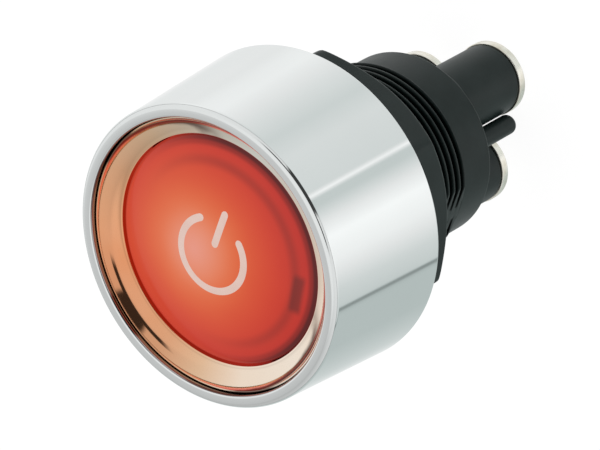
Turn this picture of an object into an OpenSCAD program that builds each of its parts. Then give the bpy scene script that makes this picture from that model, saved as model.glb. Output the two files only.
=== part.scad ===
// Illuminated push button for a round panel hole, with a chrome bezel, a threaded barrel
// and three screw terminals at the back.
// Millimetres. The origin is the middle of the bezel's rear rim, where it sits on the panel.
// +Z points out of the panel to the user's finger, +Y is up on the lens's symbol.

/* [Bezel] */
// Outer diameter at the panel
bezel_d = 35; // [33:0.5:44]
// How much the radius shrinks from the panel to the rim
bezel_taper = 1.05; // [0:0.05:1.5]
// Height above the panel
bezel_h = 16.25; // [14:0.25:22]
// Width of the rim around the mouth
rim_w = 1.45; // [1.1:0.05:2]
// Outer rounding of the rim
rim_round = 0.6; // [0.2:0.05:0.9]
// Width of the rear land that meets the panel
seat_land = 1.6; // [1:0.1:2]
// Thickness of the floor over the panel
floor_t = 2.2; // [1.8:0.1:3]
// Depth of the gasket's recess in that floor
recess_h = 0.8; // [0.5:0.1:1]
// Thickness of the gasket
gasket_t = 1.1; // [0.9:0.1:1.5]

/* [Barrel] */
// Major diameter of the thread, which is the panel hole's size
thread_d = 22; // [21:0.5:27]
// Pitch of the thread
thread_pitch = 1; // [0.8:0.1:1.2]
// Depth of the thread
thread_depth = 0.6; // [0.4:0.05:0.65]
// Depth of the two flats that stop the barrel turning
flat_depth = 0.6; // [0.4:0.05:0.8]
// Length of the barrel behind the panel seat
barrel_l = 14.4; // [14:0.1:18]
// Wall from the thread's crest to the bore
barrel_wall = 2.2; // [2:0.1:2.6]
// Thickness of the flange inside the bezel
flange_t = 1.6; // [1.2:0.1:2.2]

/* [Nut and washer] */
// Half of what the nut measures across its flats beyond the thread
nut_wall = 2.5; // [2:0.1:4]
// Thickness of the nut
nut_t = 6.3; // [4:0.1:6.5]
// Height of the nut's rear chamfer at the corners
nut_chamfer = 2.6; // [0.5:0.1:3]
// Angle at which the nut stands, one corner from +X
nut_turn = 53; // [0:1:59]
// Thickness of the lock washer
washer_t = 1; // [0.6:0.1:1.2]

/* [Lens and symbol] */
// How far the lens's edge lies below the rim
lens_recess = 2.4; // [1.5:0.1:3.5]
// Height of the lens's dome over its edge
lens_crown = 1.4; // [0.8:0.1:2]
// Wall of the lens
lens_wall = 1.6; // [1.2:0.1:2]
// Width of the chrome cove between mouth and lens
cove_w = 2.5; // [1.8:0.1:3]
// Outer radius of the symbol's ring
symbol_r = 4.5; // [3:0.1:6]
// Stroke of the symbol
symbol_w = 0.95; // [0.6:0.05:1.4]
// Depth of the symbol's pocket in the dome
symbol_depth = 0.65; // [0.4:0.05:0.9]

/* [Plunger] */
// Travel of the button
travel = 3; // [2:0.1:3.8]
// Thickness of the plunger's flange under the lens
plunger_flange_t = 1.3; // [1:0.1:2]
// Wall of the plunger's sleeve
sleeve_wall = 1.3; // [1:0.1:1.5]
// Thickness of the rubber stop ring
bumper_t = 0.8; // [0.5:0.1:1]
// Width of the key that keeps the symbol upright
key_w = 1.9; // [1.2:0.1:3]

/* [Contacts] */
// Extra travel of the plunger after the contacts meet
over_travel = 0.75; // [0.3:0.05:1.2]
// Thickness of the contact ring
bridge_t = 0.8; // [0.5:0.1:1.2]
// Radial width of the contact ring
bridge_w = 2.5; // [2:0.1:2.8]
// Radius of a fixed contact pad
pad_r = 0.95; // [0.7:0.05:1]
// Thickness of the retaining clip
clip_t = 0.5; // [0.4:0.05:0.7]

/* [Springs] */
// Wire diameter of the return spring
return_wire = 0.7; // [0.5:0.05:0.8]
// Wire diameter of the contact spring
contact_wire = 0.6; // [0.4:0.05:0.7]
// Length of the contact spring at rest
contact_spring_l = 4.2; // [3.5:0.1:5]

/* [Rear body and terminals] */
// Step in radius from the thread's crest to the rear body
rear_step = 0.6; // [0.6:0.05:1.2]
// Length of the rear body
rear_l = 5.1; // [4:0.1:8]
// Diameter of a terminal post
post_d = 8; // [6:0.1:8.4]
// Length of a terminal post
post_l = 9.5; // [6:0.1:14]
// Gap from a post to the rear body's edge
post_inset = 0.35; // [0.2:0.05:1]
// Gap from the peg to the rear body's edge
peg_inset = 2.53; // [1:0.1:3]
// Diameter of a terminal's metal disc
disc_d = 8.3; // [7:0.1:8.6]
// Thickness of a terminal's metal disc
disc_t = 1.1; // [0.6:0.1:1.5]
// Nominal diameter of a terminal screw
screw_d = 3; // [2.5:0.5:3]
// Diameter of the plug's locating peg
peg_d = 2.2; // [1.6:0.1:2.4]
// Length of the plug's locating peg
peg_l = 8.9; // [4:0.1:9.4]

/* [Lamp] */
// Diameter of the LED's dome
led_d = 5; // [3:0.5:5]
// Height of the LED above its board
led_h = 8.6; // [6:0.1:9]
// Diameter of the lamp's pillar
pillar_d = 6; // [5.6:0.1:6]

/* [Clearances] */
// Radial running clearance of the sliding parts
slide_gap = 0.1; // [0.05:0.01:0.1]
// Radial clearance of parts that are pressed or laid in
fit_gap = 0.03; // [0.02:0.01:0.05]
// Axial gap at a stop
stop_gap = 0.05; // [0.03:0.01:0.1]

/* [Hidden] */
$fn = 96;
eps = 0.01;

// Bezel
bezel_r = bezel_d / 2;
front_r = bezel_r - bezel_taper;
mouth_r = front_r - rim_w;
shoulder_w = 0.5;
well_r = mouth_r - shoulder_w;
land_r = bezel_r - seat_land;
rear_edge = 0.25;
inner_round = 0.3;

// Barrel
thread_r = thread_d / 2;
root_r = thread_r - thread_depth;
bore_r = thread_r - barrel_wall;
flat_x = thread_r - flat_depth;
flange_z1 = floor_t + flange_t;
barrel_z = -barrel_l;

// Nut and washer, screwed up against the gasket
gasket_z0 = recess_h - gasket_t;
washer_z0 = gasket_z0 - washer_t;
nut_z0 = washer_z0 - nut_t;
nut_r = (thread_r + nut_wall) / cos(30);
nut_rear_r = nut_r - nut_chamfer;
nut_front_chamfer = 0.8;

// Thread: a plain neck, grooves up to the nut's rear edge, one wide groove, grooves to the end
neck_z = -1.5;
relief_z = nut_z0 - 0.1;
relief_w = 0.7;
front_turns = floor((neck_z - relief_z - relief_w) / thread_pitch);
front_end_z = neck_z - front_turns * thread_pitch;
rear_start_z = relief_z - 0.55 * thread_pitch;
rear_turns = floor((rear_start_z - barrel_z - 0.1) / thread_pitch);
thread_end_z = rear_start_z - rear_turns * thread_pitch;

// Plunger and trim ring, stacked on the housing's flange
plunger_flange_z0 = flange_z1 + bumper_t + travel + slide_gap;
plunger_flange_z1 = plunger_flange_z0 + plunger_flange_t;
trim_z0 = plunger_flange_z1 + stop_gap;
sleeve_r = bore_r - slide_gap;
sleeve_in_r = sleeve_r - sleeve_wall;

// Lens
lens_r = mouth_r - cove_w;
trim_in_r = lens_r + slide_gap;
lens_edge_z = bezel_h - lens_recess;
crown_z = lens_edge_z + lens_crown;
dome_r = (lens_r * lens_r + lens_crown * lens_crown) / (2 * lens_crown);
dome_z = crown_z - dome_r;
skirt_wall = 1.3;
skirt_in_r = lens_r - skirt_wall;
hook_w = 4.6;
lens_edge_chamfer = 0.25;
inner_dome_r = dome_r - lens_wall;
plunger_flange_r = lens_r + 0.8;
trim_shoulder_z = lens_edge_z - 0.65;

// Cup on the plunger that carries the diffuser and the reflector
cup_wall = 0.8;
cup_r = skirt_in_r - 1.0;
cup_in_r = cup_r - cup_wall;
cup_z1 = dome_z + sqrt(inner_dome_r * inner_dome_r - cup_r * cup_r) - 0.4;
diffuser_t = 0.8;
diffuser_z0 = cup_z1 - 0.1 - diffuser_t;
reflector_t = 0.7;

// Back end
rear_r = thread_r - rear_step;
rear_z = barrel_z - rear_l;
spigot_h = 2.4;
base_floor_z = barrel_z + spigot_h;
spigot_r = bore_r - fit_gap;
bead_h = 0.3;
bead_z0 = barrel_z + 0.5;
bead_z1 = bead_z0 + 0.5;
bead_gap = 0.05;
bead_groove_r = bore_r + bead_h + fit_gap;
seal_wire_r = 0.33;
seal_z = barrel_z + 1.7;
post_r = post_d / 2;
post_z = rear_z - post_l;
disc_r = disc_d / 2;
disc_z = post_z - disc_t;
post_ring_r = rear_r - post_r - post_inset;
feed_angle = 75;
lamp_angle = 184;
switched_angle = 302;
post_angles = [feed_angle, lamp_angle, switched_angle];
peg_r = peg_d / 2;
peg_ring_r = rear_r - peg_r - peg_inset;
peg_angle = 27.5;

// Contacts: the pads stand on the base's floor, and the ring hangs over them
lip_h = 0.6;
pad_h = over_travel + clip_t + lip_h + stop_gap + 0.4;
pad_z = base_floor_z + pad_h;
pad_foot = 0.3;
contact_gap = travel - over_travel;
bridge_z0 = pad_z + contact_gap;
bridge_z1 = bridge_z0 + bridge_t;
clip_z1 = bridge_z0 - stop_gap;
clip_z0 = clip_z1 - clip_t;
sleeve_z0 = clip_z0 - lip_h;
bridge_r = sleeve_in_r - 0.15;
bridge_in_r = bridge_r - bridge_w;
contact_shoulder_z = bridge_z1 + contact_spring_l;
contact_coil_r = bridge_r - 0.95;
pad_ring_r = bridge_in_r + 0.85;
clip_groove_r = sleeve_in_r + 0.4;
clip_in_r = pad_ring_r + pad_r + 0.15;

// Return spring around the lamp's pillar
pillar_r = pillar_d / 2;
return_coil_r = pillar_r + 0.5 + return_wire / 2;
guide_r = return_coil_r + return_wire / 2 + 0.4;
guide_wall = 1.2;
spring_seat_z = plunger_flange_z0 - 5.5;
seat_t = 1.2;
seat_in_r = pillar_r + 0.3;
reflector_z0 = spring_seat_z + seat_t + stop_gap;

// Lamp
led_r = led_d / 2;
led_flange_r = led_r + 0.4;
led_z1 = diffuser_z0 - travel - 2.4;
board_t = 0.8;
board_z1 = led_z1 - led_h;
board_z0 = board_z1 - board_t;
board_r = pillar_r - 0.1;
pillar_bore_r = 1.7;
foot_r = 2.3;
foot_h = 1;
strip_w = 1;
strip_t = 0.5;
strip_z0 = base_floor_z - 2.2;
wire_r = 0.22;
lead_ring_r = 0.85;
resistor_r = 0.75;
resistor_l = 3.6;

// Terminals
stud_r = 2.2;
stem_r = 1.3;
stem_z = rear_z - 2;
screw_r = screw_d / 2;
tap_r = screw_r - 0.25;
tap_l = 7;
screw_l = 6;
head_r = 2.4;
head_h = 1.4;

// Points along an arc about c, from angle a0 to a1
function arc(c, r, a0, a1, n) =
    [for (i = [0:n]) let (a = a0 + (a1 - a0) * i / n) c + r * [cos(a), sin(a)]];

// Level slice through a round wire wound to radius r at the given pitch
function coil_slice(r, wire, pitch, n = 7) =
    let (half = wire / 2, reach = 360 * half / pitch)
    concat(
        [for (i = [0:n]) let (a = reach * cos(180 - 180 * i / n),
            s = half * sin(180 * i / n)) (r + s) * [cos(a), sin(a)]],
        [for (i = [1:n - 1]) let (a = reach * cos(180 * i / n),
            s = half * sin(180 * i / n)) (r - s) * [cos(a), sin(a)]]
    );

module tube(r_in, r_out, z0, z1) {
    rotate_extrude() translate([r_in, z0]) square([r_out - r_in, z1 - z0]);
}

module rod(r, z0, z1) {
    translate([0, 0, z0]) cylinder(r = r, h = z1 - z0);
}

// Circle with two flats at right angles to X
module double_d(r, x) {
    intersection() {
        circle(r);
        square([2 * x, 3 * r], center = true);
    }
}

module at_angle(a, r) {
    rotate([0, 0, a]) translate([r, 0, 0]) children();
}

module coil(r, wire, z0, z1, turns) {
    pitch = (z1 - z0) / turns;
    translate([0, 0, z0])
        linear_extrude(height = z1 - z0, twist = -360 * turns, slices = turns * 20, $fn = 14)
            polygon(coil_slice(r, wire, pitch));
}

// ---------- outside ----------

module bezel() {
    color([0.86, 0.88, 0.88]) difference() {
        rotate_extrude() polygon(concat(
            [[0, recess_h], [land_r, recess_h], [land_r, 0], [bezel_r - rear_edge, 0],
                [bezel_r, rear_edge]],
            arc([front_r - rim_round, bezel_h - rim_round], rim_round, 0, 90, 6),
            arc([mouth_r + inner_round, bezel_h - inner_round], inner_round, 90, 180, 4),
            [[mouth_r, trim_shoulder_z], [well_r, trim_shoulder_z], [well_r, floor_t],
                [0, floor_t]]
        ));
        linear_extrude(height = floor_t + 1) double_d(thread_r + fit_gap, flat_x + fit_gap);
    }
}

// Chrome cove that leads from the mouth down to the lens and keeps the plunger in
module trim_ring() {
    cove_r = cove_w - slide_gap;
    cove_z = lens_edge_z + 0.15 + cove_r;
    collar_r = well_r - 0.6;
    lip_t = 0.12;
    color([0.84, 0.85, 0.85]) rotate_extrude() polygon(concat(
        [[trim_in_r, trim_z0], [collar_r, trim_z0], [collar_r, trim_shoulder_z],
            [mouth_r - fit_gap, trim_shoulder_z], [mouth_r - fit_gap, cove_z - cove_r / 3]],
        arc([trim_in_r, cove_z], cove_r - lip_t, -20, -86, 10)
    ));
}

module gasket() {
    color([0.12, 0.12, 0.12])
        tube(thread_r + 0.2, land_r - 0.3, gasket_z0, recess_h);
}

// One run of the barrel's outline from z0 down: count grooves, each followed by a crest land
function thread_run(z0, count) = [
    for (i = [0:count - 1]) let (z = z0 - i * thread_pitch) each [
        [thread_r, z],
        [root_r, z - 0.15 * thread_pitch],
        [root_r, z - 0.3 * thread_pitch],
        [thread_r, z - 0.45 * thread_pitch]
    ]
];

module housing() {
    keyway_z = sleeve_z0 - travel - 0.3;
    color([0.16, 0.18, 0.18]) difference() {
        rotate_extrude() polygon(concat(
            [[bore_r, flange_z1], [well_r - slide_gap, flange_z1], [well_r - slide_gap, floor_t],
                [thread_r, floor_t]],
            thread_run(neck_z, front_turns),
            [[thread_r, front_end_z], [root_r, front_end_z - 0.15 * thread_pitch],
                [root_r, relief_z + 0.15 * thread_pitch], [thread_r, relief_z]],
            thread_run(rear_start_z, rear_turns),
            [[thread_r, thread_end_z], [thread_r - 0.15, barrel_z], [bore_r, barrel_z],
                [bore_r, bead_z0 - bead_gap], [bead_groove_r, bead_z0 - bead_gap],
                [bead_groove_r, bead_z1 + bead_gap], [bore_r, bead_z1 + bead_gap]]
        ));
        for (side = [-1, 1])
            translate([side * (flat_x + thread_r), 0, barrel_z - 1])
                linear_extrude(height = floor_t - barrel_z + 1)
                    square([2 * thread_r, 2 * thread_r], center = true);
        translate([-key_w / 2 - slide_gap, 0, keyway_z])
            cube([key_w + 2 * slide_gap, bore_r + 0.7, flange_z1 - keyway_z + 1]);
    }
}

// Lock washer keyed to the barrel's flats, with teeth on its rim
module lock_washer() {
    teeth = 24;
    washer_r = nut_r - 1.1;
    color([0.72, 0.72, 0.7]) difference() {
        translate([0, 0, washer_z0]) linear_extrude(height = washer_t) difference() {
            circle(washer_r);
            double_d(thread_r + slide_gap, flat_x + slide_gap);
        }
        for (i = [0:teeth - 1])
            rotate([0, 0, i * 360 / teeth]) translate([washer_r, 0, washer_z0 - 1])
                cylinder(r = 0.45, h = washer_t + 2);
    }
}

module panel_nut() {
    past = 0.5;
    color([0.15, 0.17, 0.17]) difference() {
        intersection() {
            translate([0, 0, nut_z0]) rotate([0, 0, nut_turn])
                cylinder(r = nut_r, h = nut_t, $fn = 6);
            rotate_extrude() polygon([[0, nut_z0], [nut_rear_r, nut_z0],
                [nut_r + past, nut_z0 + nut_chamfer + past],
                [nut_r + past, washer_z0 - (nut_front_chamfer + past) / 2],
                [nut_r - nut_front_chamfer, washer_z0], [0, washer_z0]]);
        }
        rod(thread_r + slide_gap, nut_z0 - 1, washer_z0 + 1);
        rotate_extrude() polygon([[thread_r, nut_z0 - eps], [thread_r + 0.6, nut_z0 - eps],
            [thread_r, nut_z0 + 0.6]]);
    }
}

// ---------- the part that is pressed ----------

// Ball that a surface of the lens's dome belongs to
module dome(r) {
    translate([0, 0, dome_z]) sphere(r, $fn = 480);
}

// The symbol is an open ring with a bar that stands in its gap
module symbol_ring(z0, grow = 0) {
    gap_angle = 34;
    difference() {
        tube(symbol_r - symbol_w - grow, symbol_r + grow, z0, crown_z + 1);
        translate([0, 0, z0 - 1]) linear_extrude(height = crown_z - z0 + 3)
            polygon([[0, 0], 2 * symbol_r * [sin(gap_angle), cos(gap_angle)],
                2 * symbol_r * [-sin(gap_angle), cos(gap_angle)]]);
    }
}

module symbol_bar(z0, grow = 0) {
    translate([-symbol_w / 2 - grow, symbol_r * 0.22 - grow, z0])
        cube([symbol_w + 2 * grow, symbol_r + 2 * grow, crown_z - z0 + 1]);
}

module lens() {
    hook_z = plunger_flange_z1 + 1.1;
    color([0.8, 0.16, 0.1]) difference() {
        intersection() {
            rotate_extrude() polygon([[0, plunger_flange_z1], [lens_r, plunger_flange_z1],
                [lens_r, lens_edge_z - lens_edge_chamfer],
                [lens_r - lens_edge_chamfer, lens_edge_z + 0.05], [0, crown_z + 1]]);
            dome(dome_r);
        }
        intersection() {
            rod(skirt_in_r, plunger_flange_z1 - 1, crown_z);
            dome(inner_dome_r);
        }
        symbol_ring(crown_z - symbol_depth, fit_gap);
        symbol_bar(crown_z - symbol_depth, fit_gap);
        for (side = [0, 180])
            rotate([0, 0, side]) translate([skirt_in_r - 0.5, -hook_w / 2 - 0.2, hook_z])
                cube([1.2, hook_w + 0.4, 1.5]);
    }
}

// The inlay follows the dome, a hair below it
module symbol() {
    color([0.95, 0.9, 0.86]) {
        intersection() {
            symbol_ring(crown_z - symbol_depth + eps);
            dome(dome_r - 0.02);
        }
        intersection() {
            symbol_bar(crown_z - symbol_depth + eps);
            dome(dome_r - 0.02);
        }
    }
}

module diffuser() {
    color([0.95, 0.95, 0.92])
        rod(cup_in_r - fit_gap, diffuser_z0, diffuser_z0 + diffuser_t);
}

// White cone that spreads the lamp's light
module reflector() {
    waist_r = sleeve_in_r - 0.2;
    color([0.95, 0.95, 0.95]) rotate_extrude() polygon([
        [seat_in_r + 0.1, reflector_z0],
        [seat_in_r + 0.1 + reflector_t, reflector_z0],
        [waist_r, plunger_flange_z1],
        [cup_in_r - fit_gap, diffuser_z0 - 1],
        [cup_in_r - fit_gap, diffuser_z0],
        [cup_in_r - reflector_t, diffuser_z0],
        [waist_r - reflector_t, plunger_flange_z1]
    ]);
}

// Hook that snaps into the lens's window
module plunger_hook() {
    base_z = plunger_flange_z1;
    hook_t = 0.45;
    translate([skirt_in_r - hook_t - 0.3, 0, 0]) rotate([90, 0, 0])
        translate([0, 0, -hook_w / 2]) linear_extrude(height = hook_w)
            polygon([[0, base_z - eps], [hook_t, base_z - eps], [hook_t, base_z + 1.2],
                [hook_t + 0.45, base_z + 1.2], [hook_t, base_z + 2.4], [0, base_z + 2.4]]);
}

module plunger() {
    web_t = 1.2;
    web_z = contact_shoulder_z + web_t;
    guide_out_r = guide_r + guide_wall;
    color([0.13, 0.14, 0.14]) {
        difference() {
            rotate_extrude() polygon([
                [sleeve_in_r, sleeve_z0], [sleeve_r, sleeve_z0],
                [sleeve_r, plunger_flange_z0], [plunger_flange_r, plunger_flange_z0],
                [plunger_flange_r, plunger_flange_z1], [cup_r, plunger_flange_z1],
                [cup_r, cup_z1], [cup_in_r, cup_z1], [cup_in_r, plunger_flange_z1 - 0.2],
                [sleeve_in_r, plunger_flange_z1 - 0.2], [sleeve_in_r, web_z],
                [guide_out_r, web_z], [guide_out_r, spring_seat_z + seat_t],
                [seat_in_r, spring_seat_z + seat_t], [seat_in_r, spring_seat_z],
                [guide_r, spring_seat_z], [guide_r, contact_shoulder_z],
                [sleeve_in_r, contact_shoulder_z],
                [sleeve_in_r, clip_z1 + 0.04], [clip_groove_r, clip_z1 + 0.04],
                [clip_groove_r, clip_z0 - 0.04], [sleeve_in_r, clip_z0 - 0.04]
            ]);
        }
        translate([-key_w / 2, sleeve_r - 0.3, sleeve_z0])
            cube([key_w, 0.9, -sleeve_z0]);
        for (side = [0, 180]) rotate([0, 0, side]) plunger_hook();
    }
}

module return_spring() {
    color([0.7, 0.7, 0.72])
        coil(return_coil_r, return_wire, base_floor_z, spring_seat_z, 7);
}

module bumper() {
    color([0.2, 0.2, 0.2])
        tube(sleeve_r + 0.9, plunger_flange_r - 0.8, flange_z1, flange_z1 + bumper_t);
}

// ---------- switch contacts ----------

module contact_bridge() {
    rim_h = 0.5;
    rim_t = 0.4;
    color([0.85, 0.6, 0.35]) rotate_extrude() polygon([
        [bridge_in_r, bridge_z0], [bridge_r, bridge_z0], [bridge_r, bridge_z1 + rim_h],
        [bridge_r - rim_t, bridge_z1 + rim_h], [bridge_r - rim_t, bridge_z1],
        [bridge_in_r, bridge_z1]
    ]);
}

module contact_spring() {
    color([0.7, 0.7, 0.72])
        coil(contact_coil_r, contact_wire, bridge_z1, contact_shoulder_z, 4);
}

// Snap ring in the plunger's sleeve, open over a short gap
module bridge_clip() {
    color([0.6, 0.6, 0.62]) difference() {
        tube(clip_in_r, clip_groove_r - fit_gap, clip_z0, clip_z1);
        rotate([0, 0, 90]) translate([0, -1.5, clip_z0 - 1])
            cube([clip_groove_r + 1, 3, clip_t + 2]);
    }
}

// ---------- back end ----------

module strip_slot(a) {
    rotate([0, 0, a]) translate([0, -strip_w / 2 - 0.1, strip_z0])
        cube([post_ring_r - stem_r / 2, strip_w + 0.2, base_floor_z - strip_z0 + 1]);
}

module terminal_base() {
    edge = 0.3;
    color([0.17, 0.19, 0.19]) difference() {
        union() {
            rotate_extrude() polygon([
                [0, rear_z], [rear_r - edge, rear_z], [rear_r, rear_z + edge],
                [rear_r, barrel_z], [spigot_r, barrel_z],
                [spigot_r, bead_z0], [spigot_r + bead_h, bead_z0 + 0.1],
                [spigot_r + bead_h, bead_z1 - 0.1], [spigot_r, bead_z1],
                [spigot_r, seal_z - seal_wire_r - 0.03],
                [bore_r - 2 * seal_wire_r - 0.05, seal_z - seal_wire_r - 0.03],
                [bore_r - 2 * seal_wire_r - 0.05, seal_z + seal_wire_r + 0.03],
                [spigot_r, seal_z + seal_wire_r + 0.03],
                [spigot_r, base_floor_z], [0, base_floor_z]
            ]);
            for (a = post_angles)
                at_angle(a, post_ring_r) rotate_extrude() polygon([
                    [0, rear_z + 1], [post_r, rear_z + 1], [post_r, post_z + edge],
                    [post_r - edge, post_z], [0, post_z]
                ]);
            at_angle(peg_angle, peg_ring_r) rotate_extrude() polygon(concat(
                [[0, rear_z + 1], [peg_r, rear_z + 1]],
                arc([peg_r - 0.5, rear_z - peg_l + 0.5], 0.5, 0, -90, 5),
                [[0, rear_z - peg_l]]
            ));
        }
        for (a = post_angles) at_angle(a, post_ring_r) {
            rod(stud_r + fit_gap, post_z - 1, stem_z + fit_gap);
            rod(stem_r + fit_gap, stem_z - 1, base_floor_z + 1);
        }
        for (a = [feed_angle, switched_angle])
            at_angle(a, pad_ring_r)
                rod(pad_r + fit_gap, base_floor_z - pad_foot - fit_gap, base_floor_z + 1);
        rod(foot_r + fit_gap, base_floor_z - foot_h - fit_gap, base_floor_z + 1);
        rod(pillar_bore_r, strip_z0, base_floor_z);
        strip_slot(lamp_angle);
        strip_slot(switched_angle);
    }
}

// O-ring between the base's spigot and the barrel's bore
module base_seal() {
    color([0.1, 0.1, 0.1]) rotate_extrude()
        translate([bore_r - seal_wire_r - 0.02, seal_z]) circle(seal_wire_r);
}

// Plated stud with its disc and tapped hole; a switch terminal's stem ends in a contact pad
module terminal(a, has_pad) {
    color([0.85, 0.84, 0.76]) difference() {
        union() {
            at_angle(a, post_ring_r) rotate_extrude() polygon([
                [0, disc_z], [disc_r - 0.15, disc_z], [disc_r, disc_z + 0.15],
                [disc_r, post_z], [stud_r, post_z], [stud_r, stem_z], [stem_r, stem_z],
                [stem_r, base_floor_z], [0, base_floor_z]
            ]);
            if (has_pad)
                at_angle(a, pad_ring_r) rod(pad_r, base_floor_z - pad_foot, pad_z);
        }
        at_angle(a, post_ring_r) rod(tap_r, disc_z - 1, disc_z + tap_l);
    }
}

module feed_terminal() {
    terminal(feed_angle, true);
}

module switched_terminal() {
    terminal(switched_angle, true);
}

module lamp_terminal() {
    terminal(lamp_angle, false);
}

module terminal_screws() {
    slot_w = 0.7;
    color([0.78, 0.78, 0.76]) for (a = post_angles)
        at_angle(a, post_ring_r) difference() {
            union() {
                rod(tap_r - fit_gap, disc_z - eps, disc_z + screw_l);
                rotate_extrude() polygon([[0, disc_z - head_h], [head_r - 0.4, disc_z - head_h],
                    [head_r, disc_z - head_h + 0.4], [head_r, disc_z], [0, disc_z]]);
            }
            for (turn = [0, 90]) rotate([0, 0, turn])
                translate([-head_r * 0.6, -slot_w / 2, disc_z - head_h - 1])
                    cube([head_r * 1.2, slot_w, 1.8]);
        }
}

// ---------- lamp ----------

module lamp_pillar() {
    color([0.9, 0.9, 0.86]) difference() {
        union() {
            rod(pillar_r, base_floor_z, board_z0);
            rod(foot_r, base_floor_z - foot_h, base_floor_z + 1);
        }
        rod(pillar_bore_r, base_floor_z - foot_h - 1, board_z0 + 1);
    }
}

module lead_at(a, z0, z1, r = wire_r) {
    at_angle(a, lead_ring_r) rod(r, z0, z1);
}

module led_board() {
    color([0.1, 0.35, 0.2]) difference() {
        rod(board_r, board_z0, board_z1);
        for (a = [lamp_angle, switched_angle])
            lead_at(a, board_z0 - 1, board_z1 + 1, wire_r + fit_gap);
    }
}

module led() {
    flange_h = 1;
    color([0.9, 0.25, 0.15]) union() {
        rod(led_flange_r, board_z1, board_z1 + flange_h);
        rod(led_r, board_z1, led_z1 - led_r);
        translate([0, 0, led_z1 - led_r]) sphere(led_r);
    }
}

// Resistor in the pillar's bore, on the lamp's feed lead
module resistor() {
    top = board_z0 - 0.8;
    color([0.3, 0.5, 0.65]) {
        lead_at(lamp_angle, top - resistor_l, top, resistor_r);
        lead_at(lamp_angle, top - eps, board_z1);
        lead_at(lamp_angle, strip_z0 + strip_t, top - resistor_l + eps);
    }
}

// Flat strip in its slot, from near the axis to a terminal's stem
module lamp_strip(a) {
    difference() {
        rotate([0, 0, a]) translate([lead_ring_r - 0.4, -strip_w / 2, strip_z0])
            cube([post_ring_r - lead_ring_r, strip_w, strip_t]);
        at_angle(a, post_ring_r) rod(stem_r + eps, strip_z0 - 1, base_floor_z);
    }
}

module lamp_feed_strip() {
    color([0.8, 0.7, 0.4]) lamp_strip(lamp_angle);
}

module lamp_return_strip() {
    color([0.8, 0.7, 0.4]) union() {
        lamp_strip(switched_angle);
        lead_at(switched_angle, strip_z0 + eps, board_z1);
    }
}

bezel();
trim_ring();
gasket();
housing();
lock_washer();
panel_nut();
lens();
symbol();
diffuser();
reflector();
plunger();
return_spring();
bumper();
contact_bridge();
contact_spring();
bridge_clip();
terminal_base();
base_seal();
feed_terminal();
switched_terminal();
lamp_terminal();
terminal_screws();
lamp_pillar();
led_board();
led();
resistor();
lamp_feed_strip();
lamp_return_strip();
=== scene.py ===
import bpy
import bmesh
import numpy as np
from mathutils import Matrix, Vector


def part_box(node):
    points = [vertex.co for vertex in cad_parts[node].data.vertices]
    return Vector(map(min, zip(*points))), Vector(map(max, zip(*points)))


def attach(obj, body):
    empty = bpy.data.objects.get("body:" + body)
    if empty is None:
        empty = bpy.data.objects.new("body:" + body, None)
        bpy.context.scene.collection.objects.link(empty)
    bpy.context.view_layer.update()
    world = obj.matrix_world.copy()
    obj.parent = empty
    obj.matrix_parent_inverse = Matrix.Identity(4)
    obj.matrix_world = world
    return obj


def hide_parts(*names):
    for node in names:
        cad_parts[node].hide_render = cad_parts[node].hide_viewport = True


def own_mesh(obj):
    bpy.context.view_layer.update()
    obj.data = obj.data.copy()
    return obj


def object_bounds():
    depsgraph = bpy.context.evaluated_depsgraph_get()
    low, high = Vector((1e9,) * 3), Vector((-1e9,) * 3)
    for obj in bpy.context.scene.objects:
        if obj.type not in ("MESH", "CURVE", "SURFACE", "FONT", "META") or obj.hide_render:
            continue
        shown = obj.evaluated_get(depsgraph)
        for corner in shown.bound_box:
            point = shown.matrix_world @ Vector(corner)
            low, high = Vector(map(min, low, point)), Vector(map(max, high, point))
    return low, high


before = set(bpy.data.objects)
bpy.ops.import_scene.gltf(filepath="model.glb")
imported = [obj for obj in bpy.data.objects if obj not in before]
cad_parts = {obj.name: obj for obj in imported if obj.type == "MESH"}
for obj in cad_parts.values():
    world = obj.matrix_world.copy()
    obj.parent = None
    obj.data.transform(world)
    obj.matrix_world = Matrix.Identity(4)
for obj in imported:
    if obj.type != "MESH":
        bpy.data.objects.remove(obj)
cadLow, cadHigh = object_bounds()
mm = 0.001
around = 240  # points around a turned piece
print("frame loaded")


# measures read from the frame, in millimetres

def span(node):
    # lowest and highest corner of a node
    low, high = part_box(node)
    return np.array(low) / mm, np.array(high) / mm


def middle(node):
    low, high = span(node)
    return (low + high) / 2


def outerRadius(node):
    low, high = span(node)
    return (high[0] - low[0]) / 2


# meshes

def putMesh(name, points, faces, body, stands):
    # closes seams and poles, turns the faces outwards and hangs the piece on its body
    mesh = bpy.data.meshes.new(name)
    mesh.from_pydata((np.asarray(points) * mm).tolist(), [], faces)
    work = bmesh.new()
    work.from_mesh(mesh)
    bmesh.ops.remove_doubles(work, verts=work.verts, dist=2e-7)
    bmesh.ops.dissolve_degenerate(work, edges=work.edges, dist=1e-7)
    bmesh.ops.recalc_face_normals(work, faces=work.faces)
    work.to_mesh(mesh)
    work.free()
    mesh.shade_smooth()
    piece = bpy.data.objects.new(name, mesh)
    bpy.context.scene.collection.objects.link(piece)
    weighted = piece.modifiers.new("evenNormals", "WEIGHTED_NORMAL")
    weighted.weight = 80
    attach(piece, body)
    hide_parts(*stands)
    return piece


def gridFaces(rows, columns, closeRows=False, closeColumns=True, start=0):
    # quads of a grid, whose last row or column may join its first
    i = np.arange(rows if closeRows else rows - 1)[:, None]
    j = np.arange(columns if closeColumns else columns - 1)[None, :]
    a = i * columns + j
    b = i * columns + (j + 1) % columns
    c = (i + 1) % rows * columns + (j + 1) % columns
    d = (i + 1) % rows * columns + j
    return (np.stack([a, b, c, d], -1).reshape(-1, 4) + start).tolist()


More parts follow.
